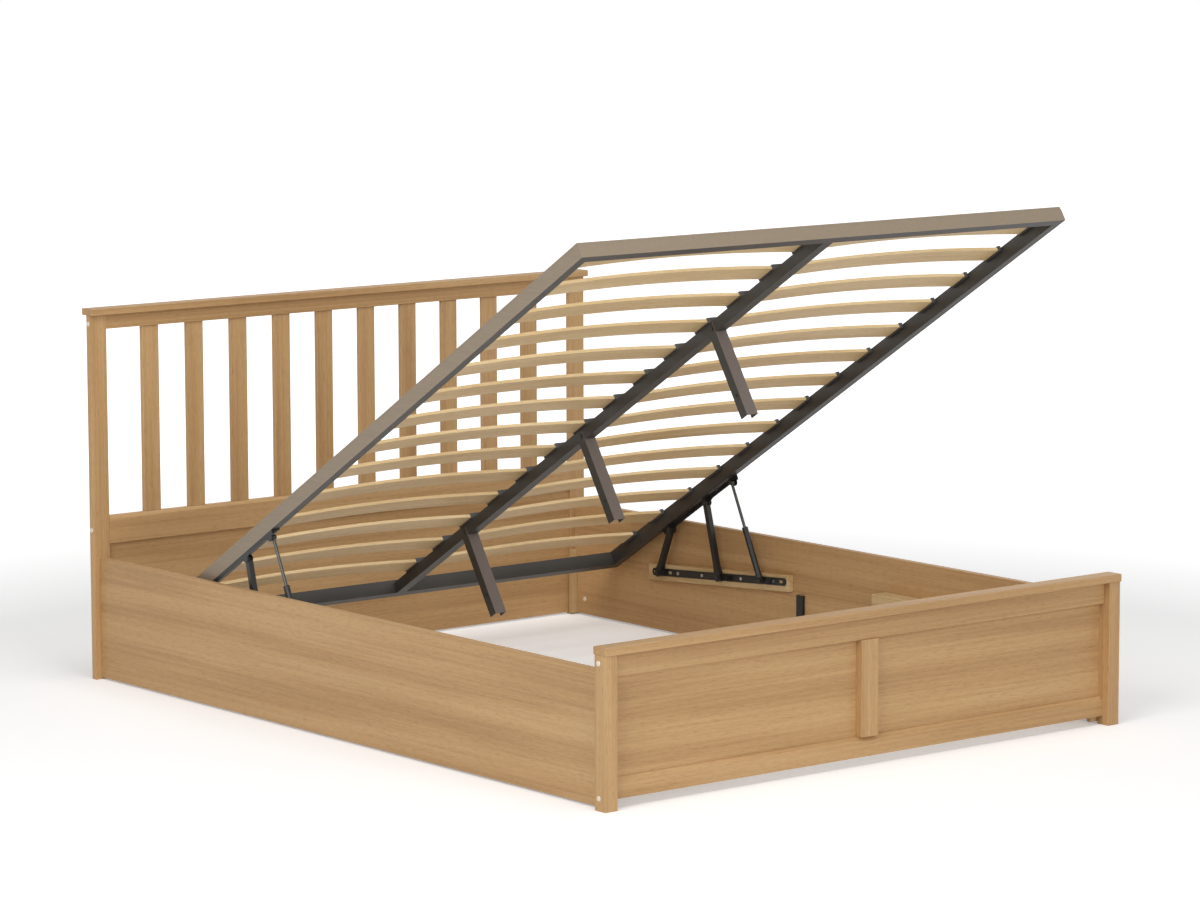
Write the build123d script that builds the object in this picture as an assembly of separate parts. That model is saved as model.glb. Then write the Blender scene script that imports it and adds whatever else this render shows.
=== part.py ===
from build123d import *
import math
import os

# Gas lift storage bed frame, king size, in millimetres, drawn with the lift frame raised.
# While it is built, y runs from the front face of the foot posts towards the headboard,
# x = 0 is the middle of the bed and z = 0 is the floor. At export the model moves to its plan centre.

# Overall
bed_width = 1600.0
bed_length = 2095.0
arris = 1.0

# Headboard
head_height = 954.0
head_post_width = 49.0
head_post_depth = 18.0
head_cap_thickness = 17.0
head_cap_side = 4.0
head_cap_front = 15.0
head_cap_back = 14.0
head_top_rail_height = 37.0
head_slat_count = 10
head_slat_width = 50.0
head_slat_pitch = 136.7
head_slat_thickness = 13.0
head_mid_rail_bottom = 349.0
head_mid_rail_height = 71.0
head_mid_rail_bevel = 9.0
head_panel_thickness = 9.0
head_panel_bottom = 5.0

# Footboard
foot_height = 370.0
foot_post_depth = 38.0
foot_cap_thickness = 18.5
foot_cap_side = 0.5
foot_cap_front = 4.0
foot_top_rail_height = 53.0
foot_top_rail_recess = 18.0
foot_bottom_rail_bottom = 22.0
foot_bottom_rail_height = 47.0
foot_bottom_rail_recess = 20.0
foot_bottom_rail_bevel = 10.5
foot_rail_back = 42.0
foot_panel_recess = 35.0
foot_panel_thickness = 6.0
foot_stile_width = 52.0
foot_stile_recess = 14.0
groove_depth = 6.0

# Side panels and the timber fixed inside them
side_panel_inset = 17.5
side_panel_thickness = 18.0
side_panel_bottom = 5.0
side_panel_top = 314.5
bearer_width = 50.0
bearer_height = 45.0
bearer_top = 225.5
bearer_length = 758.0
cleat_width = 18.0
cleat_depth = 14.5
batten_thickness = 19.5
batten_height = 43.0
batten_head_inset = 348.0
batten_foot_inset = 919.0
batten_low_z = 163.5
batten_high_z = 202.5
strap_inset = 939.0
strap_width = 25.0
strap_depth = 8.0
strap_wall = 2.5
strap_top = 175.0

# Connector screws of the bedstead, each under a push-in cover cap
connector_radius = 2.75
connector_length = 62.0
connector_head_radius = 5.0
connector_head_height = 4.0
counterbore_depth = 6.0
cover_radius = 6.5
cover_height = 1.5
head_connector_drop = 22.0
head_connector_rise = 37.0
foot_connector_drop = 18.5
foot_connector_rise = 7.0
foot_connector_y = 23.5
inner_cover_inset = 46.0
inner_cover_z = 47.0

# Sides of small fasteners' heads, shanks and covers and of bosses, and how far covers and slots are eased
head_sides = 10
shank_sides = 6
cover_sides = 12
cover_taper = 30.0
boss_sides = 20
slot_corner = 0.29

# Wood screws of the battens, bearers and cleats
screw_radius = 2.0
screw_length = 14.0
screw_head_radius = 4.5
screw_head_height = 2.5
bearer_screw_count = 3
bearer_screw_inset = 90.0

# Lift frame, in its own frame: x across, v along the frame from its foot end, w up from its underside
lift_foot_gap = 11.0
lift_head_gap = 4.0
rest_gap = 0.5
rail_width = 25.0
rail_height = 37.0
rail_wall = 2.0
rail_lip_height = 7.0
rail_lip_step = 0.8
beam_width = 30.0
beam_height = 28.0
slat_first = 74.5
slat_last_clear = 40.0
slat_pitch = 138.0
slat_width = 54.0
slat_thickness = 8.0
slat_rise = 12.0
slat_outer_gap = 6.0
slat_inner_gap = 6.0
holder_floor = 3.0
holder_roof = 3.0
holder_cheek = 4.0
holder_reach = 32.0
holder_gap = 0.3
leg_places = (475.0, 1064.0, 1630.0)
leg_length = 222.0
leg_depth = 25.0
leg_wall = 2.0
leg_lap = 24.0
leg_bolt_radius = 4.0
leg_bolt_drop = 12.0
leg_stud_drop = 165.0

# The raised lift frame: its tilt, and the place of its lower head corner from the headboard and the floor
lift_tilt = 31.7
raised_head_inset = 212.2
raised_head_z = 158.7

# Lift mechanism, with insets measured from the headboard, and the upper pivots' drop below the rail
rear_pivot_inset = 405.0
rear_pivot_z = 169.5
mid_pivot_inset = 653.0
mid_pivot_z = 187.0
strut_pivot_inset = 822.0
strut_pivot_z = 200.0
seat_drop = 14.0
strut_seat_inset = 572.0
plate_thickness = 3.0
plate_height = 20.0
plate_head_inset = 366.0
plate_foot_inset = 914.0
slot_length = 16.0
slot_width = 8.0
slot_places = (12.0, 74.0, 270.0, 528.0)
plate_hole_place = 444.0
plate_hole_radius = 3.5
plate_screw_places = (110.0, 210.0, 370.0, 500.0)
tab_thickness = 3.0
tab_height = 14.0
tab_reaches = (16.0, 36.0, 33.0)
arm_width = 14.0
arm_depth = 14.0
arm_wall = 2.5
arm_boss_radius = 11.0
arm_eye_radius = 9.0
side_gap = 0.5
pivot_radius = 4.0
pivot_gap = 0.05
pivot_head_radius = 6.5
pivot_head_height = 2.0
bracket_thickness = 3.0
bracket_strip = 11.0
bracket_lobe_radius = 10.0
bracket_lobe_flare = 20.0
bracket_head_over = 40.0
bracket_foot_over = 18.0
bracket_screw_inset = 9.0
arm_taper_length = 33.0

# Gas strut
cylinder_radius = 8.0
cylinder_wall = 1.5
cylinder_length = 148.0
cylinder_cap = 8.0
rod_radius = 4.0
rod_guide_gap = 0.05
piston_length = 10.0
piston_inset = 45.0
lug_radius = 6.5
lug_thickness = 9.0
lug_neck_half = 5.5
lug_overlap = 1.0

# Places shared by several pieces
half_width = bed_width / 2
head_front = bed_length - head_post_depth
post_top = head_height - head_cap_thickness
post_inner = half_width - head_post_width
foot_post_top = foot_height - foot_cap_thickness
head_connector_heights = (post_top - head_connector_drop, head_mid_rail_bottom + head_connector_rise)
foot_connector_heights = (foot_post_top - foot_connector_drop, foot_bottom_rail_bottom + foot_connector_rise)
inner_half = half_width - side_panel_inset - side_panel_thickness
lift_half_width = inner_half - batten_thickness
plate_inner = lift_half_width - plate_thickness
arm_outer = plate_inner - side_gap
arm_inner = arm_outer - arm_width
strut_x = arm_outer - cylinder_radius
cleat_top = bearer_top - bearer_height
slat_underside = beam_height + holder_floor
lowered_y = foot_rail_back + lift_foot_gap
lowered_z = bearer_top + rest_gap
lift_length = head_front - lift_head_gap - lowered_y
raised_y = head_front - raised_head_inset - lift_length * math.cos(math.radians(lift_tilt))
raised_z = raised_head_z + lift_length * math.sin(math.radians(lift_tilt))
rear_pivot_y = head_front - rear_pivot_inset
mid_pivot_y = head_front - mid_pivot_inset
strut_pivot_y = head_front - strut_pivot_inset
strut_seat_v = lift_length - strut_seat_inset
slat_count = 1 + int((lift_length - slat_last_clear - slat_first - slat_width) // slat_pitch)
plan_centre = (bed_length + head_cap_back - foot_cap_front) / 2
base_pivots = ((rear_pivot_y, rear_pivot_z), (mid_pivot_y, mid_pivot_z), (strut_pivot_y, strut_pivot_z))
plate_slope = (strut_pivot_z - rear_pivot_z) / (rear_pivot_y - strut_pivot_y)
plate_tilt = math.degrees(math.atan(plate_slope))
raised_pose = Pos(0, raised_y, raised_z) * Rot(-lift_tilt, 0, 0)

nodes = {}


def block(x_span, y_span, z_span):
    """A plain box between pairs of limits."""
    spans = (x_span, y_span, z_span)
    size = [high - low for low, high in spans]
    centre = [(low + high) / 2 for low, high in spans]
    return Pos(*centre) * Box(*size)


def board(x_span, y_span, z_span):
    """A piece of timber with its arrises taken off."""
    solid = block(x_span, y_span, z_span)
    return chamfer(solid.edges(), arris)


def rod_x(x_low, x_high, y, z, radius):
    """A round bar lying across the bed."""
    return Pos((x_low + x_high) / 2, y, z) * Rot(0, 90, 0) * Cylinder(radius, x_high - x_low)


def peg(radius, length, bottom=0.0, sides=head_sides):
    """A fastener's head, shank or bore: a regular prism on a height, light enough to repeat."""
    return Pos(0, 0, bottom) * extrude(RegularPolygon(radius, sides), amount=length)


def peg_x(x_low, x_high, y, z, radius, sides=head_sides):
    """The same prism lying across the bed."""
    return Pos(x_low, y, z) * Rot(0, 90, 0) * peg(radius, x_high - x_low, sides=sides)


def eased_slot(length, width):
    """A slot or strip with its corners cut off."""
    return chamfer(Rectangle(length, width).vertices(), slot_corner * width)


def side_outline(points, x_span):
    """A closed outline of (y, z) points, extruded across the bed."""
    low, high = x_span
    outline = Polyline(*[(0, y, z) for y, z in points], close=True)
    return Pos(low, 0, 0) * extrude(make_face(outline), amount=high - low, dir=(1, 0, 0))


def to_left(shape):
    return mirror(shape, about=Plane.YZ)


def add_pair(name, right):
    """Stores a right-hand piece and its mirror image as two nodes."""
    nodes[name + "_right"] = right
    nodes[name + "_left"] = to_left(right)


def add_group(name, right_pieces, mirrored=True):
    """Stores identical small pieces as separate solids of one node."""
    pieces = list(right_pieces)
    if mirrored:
        pieces += [to_left(piece) for piece in right_pieces]
    nodes[name] = Compound([piece.solid() for piece in pieces])


def connector_places():
    """(y, z) of every connector screw on one side of the bed."""
    head_y = head_front + head_post_depth / 2
    head = [(head_y, z) for z in head_connector_heights]
    return head + [(foot_connector_y, z) for z in foot_connector_heights]


def connector(y, z):
    head_outer = half_width - counterbore_depth + connector_head_height
    head_inner = half_width - counterbore_depth
    shank = peg_x(head_inner - connector_length, head_inner, y, z, connector_radius, shank_sides)
    return shank + peg_x(head_inner, head_outer, y, z, connector_head_radius)


def cover(x_face, y, z, outward):
    """A push-in cap: a shallow dome on the timber's face."""
    dome = extrude(RegularPolygon(cover_radius, cover_sides), amount=cover_height, taper=cover_taper)
    return Pos(x_face, y, z) * Rot(0, 90 * outward, 0) * dome


def drilled(solid, places):
    """Takes the connector screws' bores and counterbores out of a piece, on both sides of the bed."""
    for y, z in places:
        counterbore = peg_x(half_width - counterbore_depth, half_width, y, z, connector_head_radius)
        screw = connector(y, z) + counterbore
        solid = solid - screw - to_left(screw)
    return solid


def headboard():
    places = connector_places()
    across = (-post_inner, post_inner)
    depth = (head_front, bed_length)
    post = board((post_inner, half_width), depth, (0, post_top))
    add_pair("headboard_post", drilled(post, places))
    side = half_width + head_cap_side
    nodes["headboard_cap"] = board((-side, side), (head_front - head_cap_front, bed_length + head_cap_back),
                                   (post_top, head_height))
    rail_bottom = post_top - head_top_rail_height
    nodes["headboard_top_rail"] = drilled(board(across, depth, (rail_bottom, post_top)), places)
    mid_top = head_mid_rail_bottom + head_mid_rail_height
    slat_front = bed_length - head_slat_thickness
    profile = [(head_front, head_mid_rail_bottom), (bed_length, head_mid_rail_bottom), (bed_length, mid_top),
               (slat_front, mid_top), (head_front, mid_top - head_mid_rail_bevel)]
    nodes["headboard_mid_rail"] = drilled(side_outline(profile, across), places)
    first = -head_slat_pitch * (head_slat_count - 1) / 2
    slats = []
    for index in range(head_slat_count):
        x = first + index * head_slat_pitch
        slats.append(board((x - head_slat_width / 2, x + head_slat_width / 2), (slat_front, bed_length),
                           (mid_top, rail_bottom)))
    add_group("headboard_slats", slats, mirrored=False)
    nodes["headboard_panel"] = block(across, (bed_length - head_panel_thickness, bed_length),
                                     (head_panel_bottom, head_mid_rail_bottom))


def footboard():
    places = connector_places()
    across = (-inner_half, inner_half)
    post = board((inner_half, half_width), (0, foot_post_depth), (0, foot_post_top))
    add_pair("footboard_post", drilled(post, places))
    side = half_width + foot_cap_side
    nodes["footboard_cap"] = board((-side, side), (-foot_cap_front, foot_rail_back),
                                   (foot_post_top, foot_height))
    top_rail_bottom = foot_post_top - foot_top_rail_height
    bottom_rail_top = foot_bottom_rail_bottom + foot_bottom_rail_height
    panel_back = foot_panel_recess + foot_panel_thickness
    groove = block(across, (foot_panel_recess, panel_back),
                   (bottom_rail_top - groove_depth, top_rail_bottom + groove_depth))
    top_rail = board(across, (foot_top_rail_recess, foot_rail_back), (top_rail_bottom, foot_post_top))
    nodes["footboard_top_rail"] = drilled(top_rail - groove, places)
    bevel_back = foot_bottom_rail_recess + foot_bottom_rail_bevel
    profile = [(foot_bottom_rail_recess, foot_bottom_rail_bottom), (foot_rail_back, foot_bottom_rail_bottom),
               (foot_rail_back, bottom_rail_top), (bevel_back, bottom_rail_top),
               (foot_bottom_rail_recess, bottom_rail_top - foot_bottom_rail_bevel)]
    nodes["footboard_bottom_rail"] = drilled(side_outline(profile, across) - groove, places)
    stile_half = foot_stile_width / 2
    stile = board((-stile_half, stile_half), (foot_stile_recess, foot_rail_back),
                  (bottom_rail_top, top_rail_bottom))
    slot = block((stile_half - groove_depth, stile_half), (foot_panel_recess, panel_back),
                 (bottom_rail_top, top_rail_bottom))
    nodes["footboard_stile"] = stile - slot - to_left(slot)
    panel = block((stile_half - groove_depth, inner_half), (foot_panel_recess, panel_back),
                  (bottom_rail_top - groove_depth, top_rail_bottom + groove_depth))
    add_pair("footboard_panel", panel)


def side_panels():
    panel = board((inner_half, inner_half + side_panel_thickness), (foot_post_depth, head_front),
                  (side_panel_bottom, side_panel_top))
    add_pair("side_panel", panel)
    bearer = board((inner_half - bearer_width, inner_half), (foot_rail_back, foot_rail_back + bearer_length),
                   (cleat_top, bearer_top))
    step = (bearer_length - 2 * bearer_screw_inset) / (bearer_screw_count - 1)
    face = inner_half - bearer_width
    screws = []
    for index in range(bearer_screw_count):
        y = foot_rail_back + bearer_screw_inset + index * step
        z = bearer_top - bearer_height / 2
        shank = peg_x(face, inner_half, y, z, screw_radius, shank_sides)
        bearer = bearer - shank
        screws.append(shank + peg_x(face - screw_head_height, face, y, z, screw_head_radius))
    add_pair("rest_bearer", bearer)
    add_group("bearer_screws", screws)
    cleats = []
    for y_low in (foot_rail_back, head_front - cleat_depth):
        cleats.append(board((inner_half - cleat_width, inner_half), (y_low, y_low + cleat_depth),
                            (side_panel_bottom, cleat_top)))
    add_group("corner_cleats", cleats)
    covers = [cover(half_width, y, z, 1) for y, z in connector_places()]
    covers += [cover(inner_half, y, inner_cover_z, -1)
               for y in (foot_rail_back + inner_cover_inset, head_front - inner_cover_inset)]
    add_group("bolt_covers", covers)
    add_group("connector_screws", [connector(y, z) for y, z in connector_places()])


def strap():
    """An upright pressed channel that stiffens the middle of each side panel, hollow side to the panel."""
    head_side = head_front - strap_inset
    foot_side = head_side - strap_width
    outer = block((inner_half - strap_depth, inner_half), (foot_side, head_side),
                  (side_panel_bottom, strap_top))
    hollow = block((inner_half - strap_depth + strap_wall, inner_half),
                   (foot_side + strap_wall, head_side - strap_wall), (side_panel_bottom, strap_top))
    add_pair("side_strap", outer - hollow)


def on_plate(y):
    """A place on the base plate's centreline, which runs through the first and last fixed pivots."""
    return Pos(0, y, rear_pivot_z + (rear_pivot_y - y) * plate_slope) * Rot(-plate_tilt, 0, 0)


def batten_and_plate():
    """The sloping batten, the long base plate on it and the stop tab beside each pivot."""
    half = batten_height / 2
    head_end, foot_end = head_front - batten_head_inset, head_front - batten_foot_inset
    corners = [(head_end, batten_low_z - half), (head_end, batten_low_z + half),
               (foot_end, batten_high_z + half), (foot_end, batten_high_z - half)]
    batten = side_outline(corners, (lift_half_width, inner_half))
    batten = chamfer(batten.edges(), arris)
    half_length = (plate_foot_inset - plate_head_inset) / 2
    face = eased_slot(2 * half_length, plate_height)
    for place in slot_places:
        face -= Pos(half_length - place, 0) * eased_slot(slot_length, slot_width)
    face -= Pos(half_length - plate_hole_place, 0) * RegularPolygon(plate_hole_radius, head_sides)
    middle = on_plate(head_front - plate_head_inset - half_length)
    upright = Pos(plate_inner, 0, 0) * Plane.YZ.location
    plate = middle * upright * extrude(face, amount=plate_thickness)
    for (y, z), reach in zip(base_pivots, tab_reaches):
        tab = block((arm_inner, lift_half_width), (-reach - tab_thickness, -reach),
                    (-tab_height / 2, tab_height / 2))
        plate = plate + on_plate(y) * tab
        plate = plate - rod_x(plate_inner, lift_half_width, y, z, pivot_radius)
        batten = batten - peg_x(lift_half_width, lift_half_width + pivot_head_height, y, z, pivot_head_radius)
    screws = []
    for place in plate_screw_places:
        centre = (middle * Pos(0, half_length - place, 0)).position
        y, z = centre.Y, centre.Z
        shank = peg_x(plate_inner, plate_inner + screw_length, y, z, screw_radius, shank_sides)
        plate = plate - shank
        batten = batten - shank
        screws.append(shank + peg_x(plate_inner - screw_head_height, plate_inner, y, z, screw_head_radius))
    add_pair("mechanism_batten", batten)
    add_pair("base_plate", plate)
    add_group("plate_screws", screws)


def base_pins():
    """Rivets of the three fixed pivots, headed in a recess of the batten and on the inner side."""
    pins = []
    inner_faces = (arm_inner, arm_inner, strut_x - lug_thickness / 2)
    for (y, z), inner in zip(base_pivots, inner_faces):
        pin = rod_x(inner - side_gap, lift_half_width, y, z, pivot_radius)
        pin += peg_x(lift_half_width, lift_half_width + pivot_head_height, y, z, pivot_head_radius)
        pin += peg_x(inner - side_gap - pivot_head_height, inner - side_gap, y, z, pivot_head_radius)
        pins.append(pin)
    add_group("base_pins", pins)


def seat_on_rail(pivot_y, pivot_z):
    """How far along the lift frame an arm's upper pivot sits, so that the arm reaches it raised and lowered.

    The pivot's distance from the fixed pivot has to be the same in both places, which is linear in v."""
    tilt = math.radians(lift_tilt)
    low = (lowered_y - pivot_y, lowered_z - pivot_z)
    high = (raised_y - pivot_y, raised_z - pivot_z)
    along = low[0] - (high[0] * math.cos(tilt) - high[1] * math.sin(tilt))
    up = low[1] - (high[0] * math.sin(tilt) + high[1] * math.cos(tilt))
    target = (high[0] ** 2 + high[1] ** 2 - low[0] ** 2 - low[1] ** 2) / 2
    return (target + up * seat_drop) / along


def raised_point(v, w):
    """(y, z) of a point of the lift frame in its raised place."""
    tilt = math.radians(lift_tilt)
    return (raised_y + v * math.cos(tilt) + w * math.sin(tilt),
            raised_z - v * math.sin(tilt) + w * math.cos(tilt))


def lay_link(base, tip, x_low):
    """Where a link drawn along local x lies: local y points to the foot side, local z outwards."""
    run, rise = tip[0] - base[0], tip[1] - base[1]
    length = math.hypot(run, rise)
    return Plane(origin=(x_low, *base), x_dir=(0, run, rise), z_dir=(1, 0, 0)).location, length


def channel_arm(base, tip):
    """A pressed U-section arm, two round-ended cheeks and a web on the foot side, and its upper bore."""
    place, length = lay_link(base, tip, arm_inner)
    half = arm_depth / 2
    outline = Pos(length / 2, 0) * Rectangle(length, arm_depth)
    taper = make_face(Polyline((0, -arm_boss_radius), (0, arm_boss_radius), (arm_taper_length, half),
                               (arm_taper_length, -half), close=True))
    boss, eye = RegularPolygon(arm_boss_radius, boss_sides), RegularPolygon(arm_eye_radius, boss_sides)
    outline += boss + taper + Pos(length, 0) * eye
    solid = extrude(outline, amount=arm_width)
    depth = (arm_wall, arm_width - arm_wall)
    reach = 2 * arm_boss_radius
    solid -= block((-reach, length + reach), (-reach, half - arm_wall), depth)
    solid -= block((-reach, arm_boss_radius), (-reach, reach), depth)
    solid -= block((length - arm_eye_radius, length + reach), (-reach, reach), depth)
    bore = Cylinder(pivot_radius + pivot_gap, 3 * arm_width)
    return place * (solid - bore), place * Pos(length, 0, 0) * bore


def gas_strut(base, tip):
    """Cylinder with its lug, and rod with its piston and unbored eye, along one line."""
    place, length = lay_link(base, tip, strut_x)
    along = Rot(0, 90, 0)
    start = lug_radius + lug_overlap
    neck = block((0, start + lug_overlap), (-lug_neck_half, lug_neck_half),
                 (-lug_thickness / 2, lug_thickness / 2))
    eye = extrude(RegularPolygon(lug_radius, boss_sides), amount=lug_thickness / 2, both=True)
    lug = eye + neck
    tube = (Pos((start + cylinder_length) / 2, 0, 0) * along
            * Cylinder(cylinder_radius, cylinder_length - start))
    bore_start = start + cylinder_cap
    bore_end = cylinder_length - cylinder_cap
    tube -= (Pos((bore_start + bore_end) / 2, 0, 0) * along
             * Cylinder(cylinder_radius - cylinder_wall, bore_end - bore_start))
    tube -= Pos(cylinder_length, 0, 0) * along * Cylinder(rod_radius + rod_guide_gap, 3 * cylinder_cap)
    cylinder = (tube + lug) - Cylinder(pivot_radius + pivot_gap, 3 * lug_thickness)
    piston_end = cylinder_length - piston_inset
    shaft_end = length - lug_radius + lug_overlap
    rod = Pos((piston_end + shaft_end) / 2, 0, 0) * along * Cylinder(rod_radius, shaft_end - piston_end)
    rod += (Pos(piston_end, 0, 0) * along
            * Cylinder(cylinder_radius - cylinder_wall - rod_guide_gap, piston_length))
    rod += Pos(length, 0, 0) * eye
    return place * cylinder, place * rod


def mechanism():
    """Rear arm, mid arm and gas strut of each side, with the rivets that travel with them."""
    rear_tip = raised_point(seat_on_rail(rear_pivot_y, rear_pivot_z), -seat_drop)
    mid_tip = raised_point(seat_on_rail(mid_pivot_y, mid_pivot_z), -seat_drop)
    strut_tip = raised_point(strut_seat_v, -seat_drop)
    rear, mid, strut = base_pivots
    rear_arm, rear_bore = channel_arm(rear, rear_tip)
    add_pair("rear_arm", rear_arm - rear_bore)
    rear_pin = rod_x(arm_inner - side_gap, lift_half_width, *rear_tip, pivot_radius)
    rear_pin += peg_x(lift_half_width, lift_half_width + pivot_head_height, *rear_tip, pivot_head_radius)
    rear_pin += peg_x(arm_inner - side_gap - pivot_head_height, arm_inner - side_gap, *rear_tip,
                      pivot_head_radius)
    add_group("bracket_pins", [rear_pin])
    mid_rivet = peg_x(arm_inner, arm_outer, *mid_tip, pivot_radius)
    mid_rivet += peg_x(arm_inner - pivot_head_height, arm_inner, *mid_tip, pivot_head_radius)
    add_group("mid_arm_rivets", [mid_rivet])
    mid_arm = channel_arm(mid, mid_tip)[0]
    add_pair("mid_arm", mid_arm - mid_rivet)
    lug_inner = strut_x - lug_thickness / 2
    rod_rivet = peg_x(lug_inner, arm_outer, *strut_tip, pivot_radius)
    rod_rivet += peg_x(lug_inner - pivot_head_height, lug_inner, *strut_tip, pivot_head_radius - side_gap)
    add_group("strut_rivets", [rod_rivet])
    cylinder, rod = gas_strut(strut, strut_tip)
    add_pair("strut_cylinder", cylinder)
    add_pair("strut_rod", rod - rod_rivet)


def rail_section(length):
    """A drawn box section with a shallow lip along the top of its outer face, lying along local v."""
    step = rail_width - rail_lip_step
    outer = make_face(Polyline((0, 0), (rail_width, 0), (rail_width, rail_height - rail_lip_height),
                               (step, rail_height - rail_lip_height), (step, rail_height), (0, rail_height),
                               close=True))
    hollow = make_face(Polyline((rail_wall, rail_wall), (step - rail_wall, rail_wall),
                                (step - rail_wall, rail_height - rail_wall),
                                (rail_wall, rail_height - rail_wall), close=True))
    return extrude(outer - hollow, amount=length)


def mitred(plan_points):
    """The plan of one mitred rail as a tall prism."""
    return extrude(make_face(Polyline(*plan_points, close=True)), amount=rail_height)


def lift_rails():
    outer, inner = lift_half_width, lift_half_width - rail_width
    far = lift_length - rail_width
    side_bar = Plane(origin=(inner, lift_length, 0), x_dir=(1, 0, 0), z_dir=(0, -1, 0)).location
    side = side_bar * rail_section(lift_length)
    side = side & mitred([(outer, 0), (outer, lift_length), (inner, far), (inner, rail_width)])
    add_pair("lift_side_rail", raised_pose * side)
    foot_bar = Plane(origin=(outer, rail_width, 0), x_dir=(0, -1, 0), z_dir=(-1, 0, 0)).location
    foot = foot_bar * rail_section(2 * outer)
    foot = foot & mitred([(-outer, 0), (outer, 0), (inner, rail_width), (-inner, rail_width)])
    nodes["lift_foot_rail"] = raised_pose * foot
    head_bar = Plane(origin=(-outer, far, 0), x_dir=(0, 1, 0), z_dir=(1, 0, 0)).location
    head = head_bar * rail_section(2 * outer)
    head = head & mitred([(-outer, lift_length), (outer, lift_length), (inner, far), (-inner, far)])
    nodes["lift_head_rail"] = raised_pose * head
    half = beam_width / 2
    beam = block((-half, half), (rail_width, far), (0, beam_height))
    beam -= block((rail_wall - half, half - rail_wall), (rail_width, far),
                  (rail_wall, beam_height - rail_wall))
    for v in leg_places:
        beam -= peg_x(-half, half, v + leg_depth / 2, leg_bolt_drop, leg_bolt_radius, shank_sides)
    nodes["lift_centre_beam"] = raised_pose * beam


def slat_band(x_span, under, thickness, width):
    """A strip bowed upwards between its two ends, centred on v = 0."""
    low, high = x_span
    middle = (low + high) / 2
    lower = ThreePointArc((low, under), (middle, under + slat_rise), (high, under))
    upper = ThreePointArc((high, under + thickness), (middle, under + slat_rise + thickness),
                          (low, under + thickness))
    ends = [Line((high, under), (high, under + thickness)), Line((low, under + thickness), (low, under))]
    face = make_face([lower, upper] + ends)
    return extrude(Plane.XZ.location * face, amount=width / 2, both=True)


def slats_and_holders():
    """Two rows of bowed slats, in caps on the side rails and in double caps on the centre beam."""
    rail_face = lift_half_width - rail_width
    span = (slat_inner_gap, rail_face - slat_outer_gap)
    slat = slat_band(span, slat_underside, slat_thickness, slat_width)
    socket = slat_band(span, slat_underside, slat_thickness + holder_gap, slat_width + 2 * holder_gap)
    half = slat_width / 2 + holder_gap + holder_cheek
    height = (beam_height, slat_underside + slat_thickness + holder_gap + holder_roof)
    rail_cap = block((rail_face - holder_reach, rail_face), (-half, half), height)
    rail_cap = rail_cap - socket
    beam_cap = block((-holder_reach, holder_reach), (-half, half), height) - socket - to_left(socket)
    centres = [slat_first + slat_width / 2 + index * slat_pitch for index in range(slat_count)]
    slats = [raised_pose * Pos(0, v, 0) * slat for v in centres]
    rail_caps = [raised_pose * Pos(0, v, 0) * rail_cap for v in centres]
    add_group("slats_right", slats, mirrored=False)
    add_group("slats_left", [to_left(piece) for piece in slats], mirrored=False)
    add_group("slat_caps_right", rail_caps, mirrored=False)
    add_group("slat_caps_left", [to_left(piece) for piece in rail_caps], mirrored=False)
    add_group("slat_caps_centre", [raised_pose * Pos(0, v, 0) * beam_cap for v in centres], mirrored=False)


def centre_legs():
    """Folded channel legs that straddle the beam, web to the foot, and the bolts that hold them."""
    outer = beam_width / 2 + leg_wall
    bolts = []
    for name, v in zip(("foot", "middle", "head"), leg_places):
        leg = block((-outer, outer), (v, v + leg_depth), (-leg_length, leg_lap))
        leg -= block((-beam_width / 2, beam_width / 2), (v + leg_wall, v + leg_depth), (-leg_length, leg_lap))
        leg -= block((-beam_width / 2, beam_width / 2), (v, v + leg_wall), (0, leg_lap))
        y = v + leg_depth / 2
        leg -= peg_x(-outer, outer, y, leg_bolt_drop, leg_bolt_radius, shank_sides)
        leg -= peg_x(-outer, 0, y, -leg_stud_drop, leg_bolt_radius)
        nodes["centre_leg_" + name] = raised_pose * leg
        bolt = peg_x(-outer, outer, y, leg_bolt_drop, leg_bolt_radius, shank_sides)
        bolt += peg_x(outer, outer + screw_head_height, y, leg_bolt_drop, pivot_head_radius)
        bolt += peg_x(-outer - screw_head_height, -outer, y, leg_bolt_drop, pivot_head_radius)
        stud = peg_x(-outer - screw_head_height, -beam_width / 2, y, -leg_stud_drop, leg_bolt_radius)
        bolts += [raised_pose * bolt, raised_pose * stud]
    add_group("leg_bolts", bolts, mirrored=False)


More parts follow.
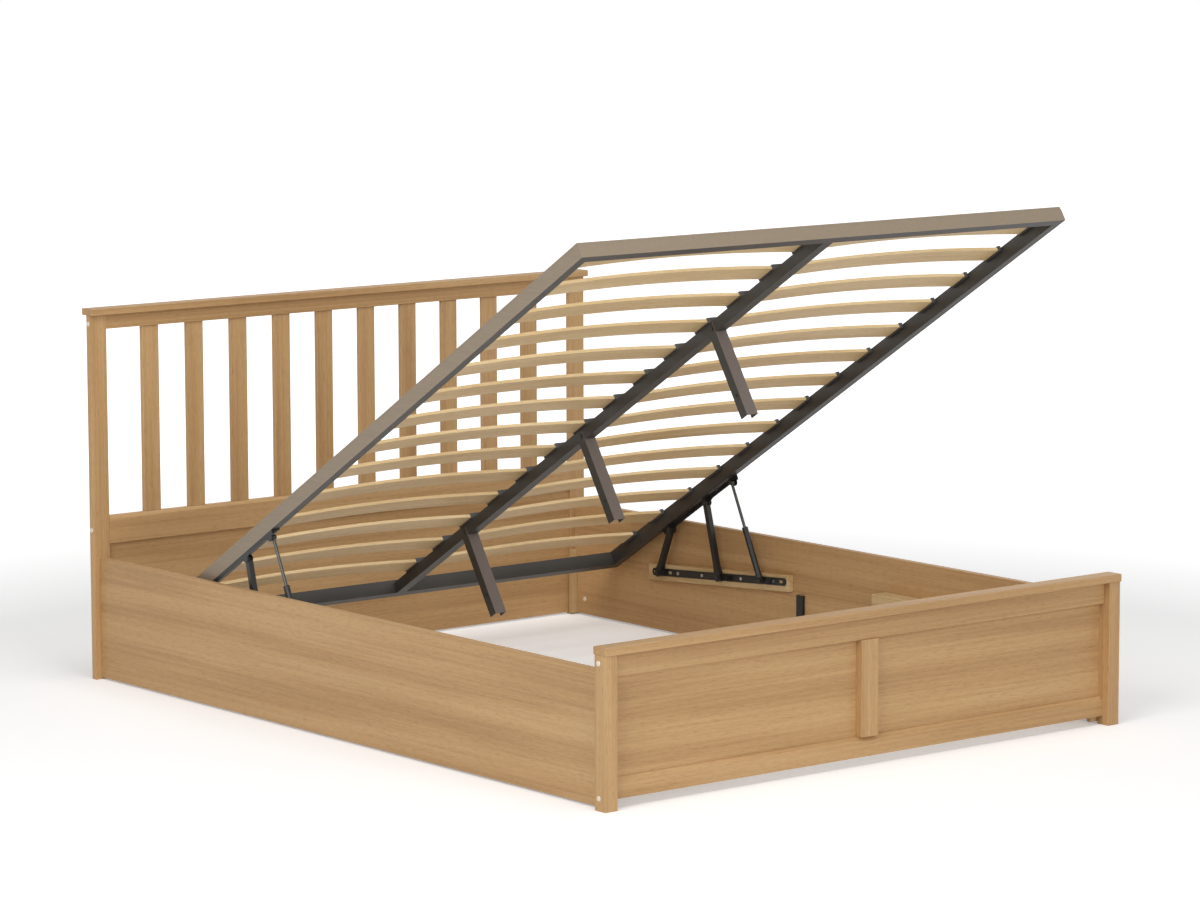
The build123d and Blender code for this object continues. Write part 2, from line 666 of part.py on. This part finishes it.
def lift_brackets():
    """Angle under each side rail: a lobed flange for the upper pivots, and one screwed to the rail."""
    rear_v = seat_on_rail(rear_pivot_y, rear_pivot_z)
    mid_v = seat_on_rail(mid_pivot_y, mid_pivot_z)
    low, high = strut_seat_v - bracket_foot_over, rear_v + bracket_head_over
    flange = Pos((low + high) / 2, -bracket_strip / 2) * Rectangle(high - low, bracket_strip)
    for v in (rear_v, mid_v, strut_seat_v):
        lobe = make_face(Polyline((v - bracket_lobe_flare, -bracket_strip),
                                  (v + bracket_lobe_flare, -bracket_strip),
                                  (v + bracket_lobe_radius, -seat_drop),
                                  (v - bracket_lobe_radius, -seat_drop), close=True))
        flange += lobe + Pos(v, -seat_drop) * RegularPolygon(bracket_lobe_radius, boss_sides)
    flange &= Pos((low + high) / 2, -bracket_strip) * Rectangle(high - low, 4 * bracket_lobe_radius)
    flange -= Pos(rear_v, -seat_drop) * Circle(pivot_radius)
    lay = Plane(origin=(plate_inner, 0, 0), x_dir=(0, 1, 0), z_dir=(1, 0, 0)).location
    bracket = lay * extrude(flange, amount=bracket_thickness)
    bracket += block((lift_half_width - rail_width, plate_inner), (low, high), (-bracket_thickness, 0))
    screws = []
    for v in (low + bracket_screw_inset, (mid_v + strut_seat_v) / 2, (mid_v + rear_v) / 2,
              high - bracket_screw_inset):
        x = lift_half_width - rail_width / 2 - bracket_thickness
        shank = Pos(x, v, 0) * peg(screw_radius, bracket_thickness, -bracket_thickness, shank_sides)
        head_bottom = -bracket_thickness - screw_head_height
        head = Pos(x, v, 0) * peg(screw_head_radius, screw_head_height, head_bottom)
        bracket -= shank
        screws.append(raised_pose * (shank + head))
    add_pair("lift_bracket", raised_pose * bracket)
    add_group("bracket_screws", screws)


headboard()
footboard()
side_panels()
strap()
batten_and_plate()
base_pins()
mechanism()
lift_rails()
slats_and_holders()
centre_legs()
lift_brackets()

os.makedirs("parts", exist_ok=True)
to_plan_centre = Pos(0, -plan_centre, 0)
for node_name, shape in nodes.items():
    export_step(to_plan_centre * shape, f"parts/{node_name}.step")
print(len(nodes), "nodes")
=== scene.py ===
import math
import bmesh
import bpy
from mathutils import Matrix, Vector


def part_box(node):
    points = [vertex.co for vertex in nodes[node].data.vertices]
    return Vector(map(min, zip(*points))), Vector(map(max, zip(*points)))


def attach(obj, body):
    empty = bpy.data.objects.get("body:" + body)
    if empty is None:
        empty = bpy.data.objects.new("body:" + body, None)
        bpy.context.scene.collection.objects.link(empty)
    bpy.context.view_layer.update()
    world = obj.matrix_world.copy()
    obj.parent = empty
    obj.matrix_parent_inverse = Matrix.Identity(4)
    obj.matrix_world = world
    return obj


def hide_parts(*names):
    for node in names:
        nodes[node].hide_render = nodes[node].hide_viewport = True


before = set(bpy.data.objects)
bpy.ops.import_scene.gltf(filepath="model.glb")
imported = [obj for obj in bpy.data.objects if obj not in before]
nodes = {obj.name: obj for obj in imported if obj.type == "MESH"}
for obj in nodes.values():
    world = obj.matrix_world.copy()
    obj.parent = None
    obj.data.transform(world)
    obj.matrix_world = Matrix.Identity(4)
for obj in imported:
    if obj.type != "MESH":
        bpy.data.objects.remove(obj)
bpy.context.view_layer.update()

# Camera, as fitted to a 1200 by 912 picture
PHOTO_WIDTH = 1200
FOCAL_PIXELS = 4624.5
SENSOR_WIDTH = 36.0
CAMERA_PLACE = (-7.090, -8.8645, 2.179)
CAMERA_YAW = math.radians(38.783)
CAMERA_PITCH = math.radians(7.839)
CAMERA_ROLL = math.radians(-0.14)

# The lift frame: tilt at rest, rail height, how far out its side faces lie (these take the painted sheen),
# and where its slats are
LIFT_TILT = math.radians(31.7)
RAIL_HEIGHT = 0.037
RAIL_SIDE = 0.6
RAIL_INNER = 0.720
SLAT_COUNT = 14
SLAT_FIRST = 0.1015
SLAT_PITCH = 0.138

# Slat end caps, across the slat and above the frame's underside
CAP_REACH = 0.010
CAP_CENTRE_REACH = 0.018
CAP_HALF = 0.0305
CAP_LOW = 0.0280
CAP_HIGH = 0.0423
POCKET_HALF = 0.0273
POCKET_LOW = 0.0310
POCKET_HIGH = 0.0403
CAP_EDGE = 0.0006

# The world's light, and each softbox's place, target, size and power
WORLD_STRENGTH = 0.23
SOFTBOXES = {
    "key": ((-6.5, -3.0, 4.5), (0.0, 0.0, 0.4), 4.5, 300.0),
    "front": ((-1.5, -12.0, 3.4), (0.0, 0.0, 0.5), 6.0, 430.0),
    "top": ((0.0, -1.8, 6.8), (0.0, 0.0, 0.5), 5.0, 140.0),
}

# The floor: its size and colour, its own paleness beside the bed, and where that starts and ends its rise
FLOOR_SIZE = 60.0
FLOOR_COLOUR = (0.90, 0.90, 0.90, 1.0)
FLOOR_LIFT = 0.27
FLOOR_NEAR = 2.0
FLOOR_FAR = 4.6

# Timber layers: squeeze along the grain, scale across it, detail and roughness
ARCH_SQUEEZE = 0.06
BROAD_LAYER = (0.05, 14.0, 3.0, 0.5)
STREAK_LAYER = (0.012, 130.0, 6.0, 0.66)
PORE_LAYER = (0.035, 1100.0, 2.0, 0.5)
BROAD_SHARE = 0.60
STREAK_SHARE = 0.60
TIMBER_STOPS = (0.36, 0.50, 0.64)
PIT_STOPS = ((0.34, (0.80, 0.76, 0.70)), (0.46, (1.0, 1.0, 1.0)))
PORE_BUMP = (0.16, 0.0003)

# Coats and plating: where the tone turns, and the surface's bump
COAT_STOPS = (0.35, 0.65)
COAT_BUMP = (0.10, 0.0002)

# The rails' second tone under (a paler mottle of the dark coat) and outside (the dim end of a painted sheen),
# and how squarely a face looks to the foot to take the painted sheen
UNDER_PALER = 1.25
SHEEN_DIMMER = 0.88
FACES_FOOT = 0.95


def new_material(name):
    """An empty node material with its shader and output joined."""
    material = bpy.data.materials.new(name)
    material.use_nodes = True
    tree = material.node_tree
    tree.nodes.clear()
    shader = tree.nodes.new("ShaderNodeBsdfPrincipled")
    output = tree.nodes.new("ShaderNodeOutputMaterial")
    tree.links.new(shader.outputs["BSDF"], output.inputs["Surface"])
    return material, tree, shader


def stretched(tree, along=None, squeeze=1.0):
    """Coordinates in the part's frame, squeezed along the grain."""
    place = tree.nodes.new("ShaderNodeTexCoord")
    mapping = tree.nodes.new("ShaderNodeMapping")
    scale = [1.0, 1.0, 1.0]
    if along is not None:
        scale[along] = squeeze
    mapping.inputs["Scale"].default_value = scale
    tree.links.new(place.outputs["Object"], mapping.inputs["Vector"])
    return mapping.outputs["Vector"]


def noise(tree, vector, scale, detail, roughness):
    """A noise texture's value."""
    node = tree.nodes.new("ShaderNodeTexNoise")
    node.inputs["Scale"].default_value = scale
    node.inputs["Detail"].default_value = detail
    node.inputs["Roughness"].default_value = roughness
    tree.links.new(vector, node.inputs["Vector"])
    return node.outputs["Fac"]


def bands(tree, vector, scale):
    """Wandering bands that close into long arches, as a flat-sawn board shows them."""
    node = tree.nodes.new("ShaderNodeTexWave")
    node.wave_type = "BANDS"
    node.bands_direction = "DIAGONAL"
    node.inputs["Scale"].default_value = scale
    node.inputs["Distortion"].default_value = 7.0
    node.inputs["Detail"].default_value = 3.0
    node.inputs["Detail Scale"].default_value = 1.6
    node.inputs["Detail Roughness"].default_value = 0.6
    tree.links.new(vector, node.inputs["Vector"])
    return node.outputs["Fac"]


def mixed(tree, factor, first, second):
    """A blend of two values by a plain factor."""
    node = tree.nodes.new("ShaderNodeMix")
    node.data_type = "FLOAT"
    node.inputs["Factor"].default_value = factor
    tree.links.new(first, node.inputs["A"])
    tree.links.new(second, node.inputs["B"])
    return node.outputs["Result"]


def maths(tree, operation, first, second):
    """A maths operation on a value and another value or a plain number."""
    node = tree.nodes.new("ShaderNodeMath")
    node.operation = operation
    tree.links.new(first, node.inputs[0])
    if isinstance(second, float):
        node.inputs[1].default_value = second
    else:
        tree.links.new(second, node.inputs[1])
    return node.outputs[0]


def ramp(tree, value, stops):
    """A colour for a value, from two or more stops."""
    node = tree.nodes.new("ShaderNodeValToRGB")
    elements = node.color_ramp.elements
    for place, colour in stops[1:-1]:
        elements.new(place)
    for element, (place, colour) in zip(elements, stops):
        element.position = place
        element.color = (*colour, 1.0)
    tree.links.new(value, node.inputs["Fac"])
    return node.outputs["Color"]


def multiplied(tree, first, second):
    """One colour times another."""
    node = tree.nodes.new("ShaderNodeMix")
    node.data_type = "RGBA"
    node.blend_type = "MULTIPLY"
    node.inputs[0].default_value = 1.0
    tree.links.new(first, node.inputs[6])
    tree.links.new(second, node.inputs[7])
    return node.outputs[2]


def gloss(tree, shader, value, low, high):
    """Roughness that follows a texture between two limits."""
    node = tree.nodes.new("ShaderNodeMapRange")
    node.inputs["To Min"].default_value = low
    node.inputs["To Max"].default_value = high
    tree.links.new(value, node.inputs["Value"])
    tree.links.new(node.outputs["Result"], shader.inputs["Roughness"])


def bump(tree, shader, height, strength, distance):
    """Relief that follows a texture."""
    node = tree.nodes.new("ShaderNodeBump")
    node.inputs["Strength"].default_value = strength
    node.inputs["Distance"].default_value = distance
    tree.links.new(height, node.inputs["Height"])
    tree.links.new(node.outputs["Normal"], shader.inputs["Normal"])


def wood(name, along, colours, figure, roughness):
    """Timber with arched figure, long streaks, fine pores and an uneven satin gloss, along one axis."""
    material, tree, shader = new_material(name)
    arches = bands(tree, stretched(tree, along, ARCH_SQUEEZE), figure)
    broad, streaks, pores = [noise(tree, stretched(tree, along, squeeze), *texture)
                             for squeeze, *texture in (BROAD_LAYER, STREAK_LAYER, PORE_LAYER)]
    tone = mixed(tree, STREAK_SHARE, mixed(tree, BROAD_SHARE, arches, broad), streaks)
    colour = ramp(tree, tone, list(zip(TIMBER_STOPS, colours)))
    pits = ramp(tree, pores, PIT_STOPS)
    tree.links.new(multiplied(tree, colour, pits), shader.inputs["Base Color"])
    gloss(tree, shader, streaks, roughness - 0.07, roughness + 0.09)
    shader.inputs["Specular IOR Level"].default_value = 0.35
    bump(tree, shader, pores, *PORE_BUMP)
    return material


def coated(name, colour, paler, roughness, metallic, grain):
    """Powder coat, plating or moulded plastic: a close mottle of tone, gloss and surface."""
    material, tree, shader = new_material(name)
    vector = stretched(tree)
    mottle = noise(tree, vector, grain, 3.0, 0.6)
    broad = noise(tree, vector, 9.0, 2.0, 0.5)
    tone = ramp(tree, broad, list(zip(COAT_STOPS, (colour, paler))))
    tree.links.new(tone, shader.inputs["Base Color"])
    gloss(tree, shader, mottle, roughness - 0.05, roughness + 0.07)
    shader.inputs["Metallic"].default_value = metallic
    bump(tree, shader, mottle, *COAT_BUMP)
    return material


def rail_coat_with_painted_sheen(name, under, sheen_colour):
    """The lift frame's rails and legs: a dark coat, paler on faces that look outwards or to the foot, where
    the paler colour is a painted sheen.
    """
    material = coated(name, under, tuple(UNDER_PALER * part for part in under), 0.40, 0.0, 1400.0)
    tree = material.node_tree
    shader = next(node for node in tree.nodes if node.type == "BSDF_PRINCIPLED")
    dark = shader.inputs["Base Color"].links[0].from_socket
    # Mask for the painted sheen: faces that look outwards from the rails, or squarely to the foot
    place = tree.nodes.new("ShaderNodeTexCoord")
    where = tree.nodes.new("ShaderNodeSeparateXYZ")
    facing = tree.nodes.new("ShaderNodeSeparateXYZ")
    tree.links.new(place.outputs["Object"], where.inputs["Vector"])
    tree.links.new(place.outputs["Normal"], facing.inputs["Vector"])
    side = maths(tree, "MULTIPLY", where.outputs["X"], facing.outputs["X"])
    side = maths(tree, "GREATER_THAN", side, RAIL_SIDE)
    foot = tree.nodes.new("ShaderNodeVectorMath")
    foot.operation = "DOT_PRODUCT"
    foot.inputs[1].default_value = (0.0, -math.cos(LIFT_TILT), math.sin(LIFT_TILT))
    tree.links.new(place.outputs["Normal"], foot.inputs[0])
    end = maths(tree, "GREATER_THAN", foot.outputs["Value"], FACES_FOOT)
    # The painted sheen, streaked along the rails, stands in for light off those faces
    sheen_streaks = noise(tree, stretched(tree, 1, 0.05), 260.0, 4.0, 0.6)
    dim_sheen = tuple(SHEEN_DIMMER * part for part in sheen_colour)
    pale = ramp(tree, sheen_streaks, list(zip(COAT_STOPS, (dim_sheen, sheen_colour))))
    # The dark coat, with the painted sheen where the mask is set
    node = tree.nodes.new("ShaderNodeMix")
    node.data_type = "RGBA"
    tree.links.new(maths(tree, "MAXIMUM", side, end), node.inputs[0])
    tree.links.new(dark, node.inputs[6])
    tree.links.new(pale, node.inputs[7])
    tree.links.new(node.outputs[2], shader.inputs["Base Color"])
    return material


OAK = ((0.445, 0.262, 0.114), (0.525, 0.320, 0.146), (0.575, 0.366, 0.176))
PINE = ((0.50, 0.330, 0.155), (0.60, 0.425, 0.215), (0.68, 0.500, 0.280))
BEECH = ((0.64, 0.450, 0.225), (0.72, 0.525, 0.280), (0.78, 0.590, 0.340))
oak = [wood("oak " + axis, index, OAK, 4.6, 0.46) for index, axis in enumerate("xyz")]
softwood = [wood("softwood " + axis, index, PINE, 5.0, 0.60) for index, axis in enumerate("xyz")]
beech = wood("beech", 0, BEECH, 4.0, 0.42)
# The second colour of the rail and leg coats is a painted sheen, paler on faces that look outwards or to the
# foot
rail_steel = rail_coat_with_painted_sheen("rail steel", (0.030, 0.026, 0.022), (0.28, 0.218, 0.150))
frame_steel = coated("frame steel", (0.027, 0.024, 0.020), (0.037, 0.033, 0.028), 0.46, 0.0, 1400.0)
leg_steel = rail_coat_with_painted_sheen("leg steel", (0.027, 0.024, 0.020), (0.175, 0.142, 0.124))
rod_steel = coated("rod steel", (0.060, 0.060, 0.057), (0.085, 0.084, 0.080), 0.34, 1.0, 900.0)
pin_steel = coated("pin steel", (0.050, 0.049, 0.047), (0.075, 0.073, 0.070), 0.36, 0.8, 900.0)
mechanism_steel = coated("mechanism steel", (0.012, 0.011, 0.010), (0.020, 0.019, 0.018), 0.36, 0.2, 1400.0)
bright_steel = coated("bright steel", (0.52, 0.52, 0.51), (0.62, 0.62, 0.60), 0.30, 1.0, 900.0)
cover_plastic = coated("cover plastic", (0.74, 0.68, 0.56), (0.80, 0.74, 0.63), 0.42, 0.0, 700.0)
cap_plastic = coated("slat cap plastic", (0.040, 0.037, 0.034), (0.055, 0.051, 0.047), 0.48, 0.0, 1200.0)

finishes = {
    oak[0]: ("headboard_cap", "headboard_top_rail", "headboard_mid_rail", "headboard_panel", "footboard_cap",
             "footboard_top_rail", "footboard_bottom_rail", "footboard_panel_left", "footboard_panel_right"),
    oak[1]: ("side_panel_left", "side_panel_right"),
    oak[2]: ("headboard_post_left", "headboard_post_right", "headboard_slats", "footboard_post_left",
             "footboard_post_right", "footboard_stile"),
    softwood[1]: ("mechanism_batten_left", "mechanism_batten_right", "rest_bearer_left", "rest_bearer_right"),
    softwood[2]: ("corner_cleats",),
    beech: ("slats_left", "slats_right"),
    rail_steel: ("lift_side_rail_left", "lift_side_rail_right", "lift_foot_rail"),
    frame_steel: ("lift_head_rail", "lift_centre_beam", "leg_bolts"),
    leg_steel: ("centre_leg_foot", "centre_leg_middle", "centre_leg_head"),
    rod_steel: ("strut_rod_left", "strut_rod_right"),
    pin_steel: ("base_pins", "mid_arm_rivets", "strut_rivets", "bracket_pins", "bracket_screws"),
    mechanism_steel: ("side_strap_left", "side_strap_right", "base_plate_left", "base_plate_right",
                      "rear_arm_left", "rear_arm_right", "mid_arm_left", "mid_arm_right",
                      "strut_cylinder_left", "strut_cylinder_right", "lift_bracket_left",
                      "lift_bracket_right"),
    bright_steel: ("connector_screws", "plate_screws", "bearer_screws"),
    cover_plastic: ("bolt_covers",),
    cap_plastic: ("slat_caps_left", "slat_caps_right", "slat_caps_centre"),
}
for material, names in finishes.items():
    for name in names:
        for slot in nodes[name].material_slots:
            slot.material = material


def lift_place(x, along, above):
    """A point of the lift frame at rest, from its foot end and its underside."""
    low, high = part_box("lift_side_rail_left")
    foot_y = low[1]
    foot_z = high[2] - RAIL_HEIGHT * math.cos(LIFT_TILT)
    return Vector((x, foot_y + along * math.cos(LIFT_TILT) + above * math.sin(LIFT_TILT),
                   foot_z - along * math.sin(LIFT_TILT) + above * math.cos(LIFT_TILT)))


def cap_collar(mesh, x_low, x_high, centre):
    """One open-ended cap: a collar round the slat."""
    rings = []
    for x in (x_low, x_high):
        for half, low, high in ((CAP_HALF, CAP_LOW, CAP_HIGH), (POCKET_HALF, POCKET_LOW, POCKET_HIGH)):
            corners = ((-half, low), (half, low), (half, high), (-half, high))
            rings.append([mesh.verts.new(lift_place(x, centre + along, above)) for along, above in corners])
    outer_near, inner_near, outer_far, inner_far = rings
    for index in range(4):
        after = (index + 1) % 4
        mesh.faces.new((outer_near[index], outer_near[after], outer_far[after], outer_far[index]))
        mesh.faces.new((inner_near[after], inner_near[index], inner_far[index], inner_far[after]))
        mesh.faces.new((outer_near[after], outer_near[index], inner_near[index], inner_near[after]))
        mesh.faces.new((outer_far[index], outer_far[after], inner_far[after], inner_far[index]))


def slat_caps():
    """Slim end caps in place of the deep pockets, so that the slats show up to the rails and the beam."""
    spans = {"left": (-RAIL_INNER, CAP_REACH - RAIL_INNER), "right": (RAIL_INNER - CAP_REACH, RAIL_INNER),
             "centre": (-CAP_CENTRE_REACH, CAP_CENTRE_REACH)}
    for side, (x_low, x_high) in spans.items():
        mesh = bmesh.new()
        for index in range(SLAT_COUNT):
            cap_collar(mesh, x_low, x_high, SLAT_FIRST + index * SLAT_PITCH)
        bmesh.ops.recalc_face_normals(mesh, faces=mesh.faces[:])
        bmesh.ops.bevel(mesh, geom=mesh.edges[:], offset=CAP_EDGE, segments=1, affect="EDGES")
        data = bpy.data.meshes.new("slim_caps_" + side)
        mesh.to_mesh(data)
        mesh.free()
        data.materials.append(cap_plastic)
        piece = bpy.data.objects.new("slim_caps_" + side, data)
        bpy.context.collection.objects.link(piece)
        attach(piece, "lift_frame")
        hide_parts("slat_caps_" + side)


def seen_directly(tree):
    """1 for what the camera sees, itself or in a gloss, and 0 for light on the object."""
    path = tree.nodes.new("ShaderNodeLightPath")
    seen = maths(tree, "MAXIMUM", path.outputs["Is Camera Ray"], path.outputs["Is Glossy Ray"])
    return maths(tree, "MAXIMUM", seen, path.outputs["Is Transmission Ray"])


def pale_floor():
    """A white floor that keeps the object's soft shadow."""
    bpy.ops.mesh.primitive_plane_add(size=FLOOR_SIZE, location=(0.0, 0.0, 0.0))
    floor = bpy.context.object
    floor.name = "floor"
    material, tree, shader = new_material("pale floor")
    shader.inputs["Base Color"].default_value = FLOOR_COLOUR
    shader.inputs["Roughness"].default_value = 0.9
    shader.inputs["Specular IOR Level"].default_value = 0.1
    shader.inputs["Emission Color"].default_value = (1.0, 1.0, 1.0, 1.0)
    place = tree.nodes.new("ShaderNodeTexCoord")
    reach = tree.nodes.new("ShaderNodeVectorMath")
    reach.operation = "LENGTH"
    tree.links.new(place.outputs["Object"], reach.inputs[0])
    fade = tree.nodes.new("ShaderNodeMapRange")
    fade.inputs["From Min"].default_value = FLOOR_NEAR
    fade.inputs["From Max"].default_value = FLOOR_FAR
    fade.inputs["To Min"].default_value = FLOOR_LIFT
    fade.inputs["To Max"].default_value = 1.0
    tree.links.new(reach.outputs["Value"], fade.inputs["Value"])
    lift = maths(tree, "MULTIPLY", seen_directly(tree), fade.outputs["Result"])
    tree.links.new(lift, shader.inputs["Emission Strength"])
    floor.data.materials.append(material)


def studio_world():
    """Soft light all round, plain white where it is seen."""
    world = bpy.data.worlds.new("studio")
    world.use_nodes = True
    tree = world.node_tree
    background = tree.nodes["Background"]
    background.inputs["Color"].default_value = (1.0, 1.0, 1.0, 1.0)
    seen = maths(tree, "MULTIPLY", seen_directly(tree), 1.0 - WORLD_STRENGTH)
    tree.links.new(maths(tree, "ADD", seen, WORLD_STRENGTH), background.inputs["Strength"])
    bpy.context.scene.world = world


def softbox(name, place, target, size, power):
    """A square area light turned towards its target."""
    light = bpy.data.lights.new(name, "AREA")
    light.shape = "SQUARE"
    light.size = size
    light.energy = power
    lamp = bpy.data.objects.new(name, light)
    bpy.context.collection.objects.link(lamp)
    lamp.location = place
    lamp.rotation_euler = (Vector(target) - Vector(place)).to_track_quat("-Z", "Y").to_euler()


def photo_camera():
    """The camera at the photograph's place and angle."""
    data = bpy.data.cameras.new("camera")
    data.sensor_fit = "HORIZONTAL"
    data.sensor_width = SENSOR_WIDTH
    data.lens = FOCAL_PIXELS / PHOTO_WIDTH * SENSOR_WIDTH
    data.clip_end = 200.0
    camera = bpy.data.objects.new("camera", data)
    bpy.context.collection.objects.link(camera)
    level = math.cos(CAMERA_PITCH)
    forward = Vector((math.sin(CAMERA_YAW) * level, math.cos(CAMERA_YAW) * level, -math.sin(CAMERA_PITCH)))
    right = Vector((math.cos(CAMERA_YAW), -math.sin(CAMERA_YAW), 0.0))
    axes = Matrix((right, right.cross(forward), -forward)).transposed()
    turned = axes @ Matrix.Rotation(CAMERA_ROLL, 3, "Z")
    camera.matrix_world = Matrix.Translation(CAMERA_PLACE) @ turned.to_4x4()
    bpy.context.scene.camera = camera


slat_caps()
pale_floor()
studio_world()
for name, setting in SOFTBOXES.items():
    softbox(name, *setting)
photo_camera()
bpy.context.scene.view_settings.view_transform = "Standard"
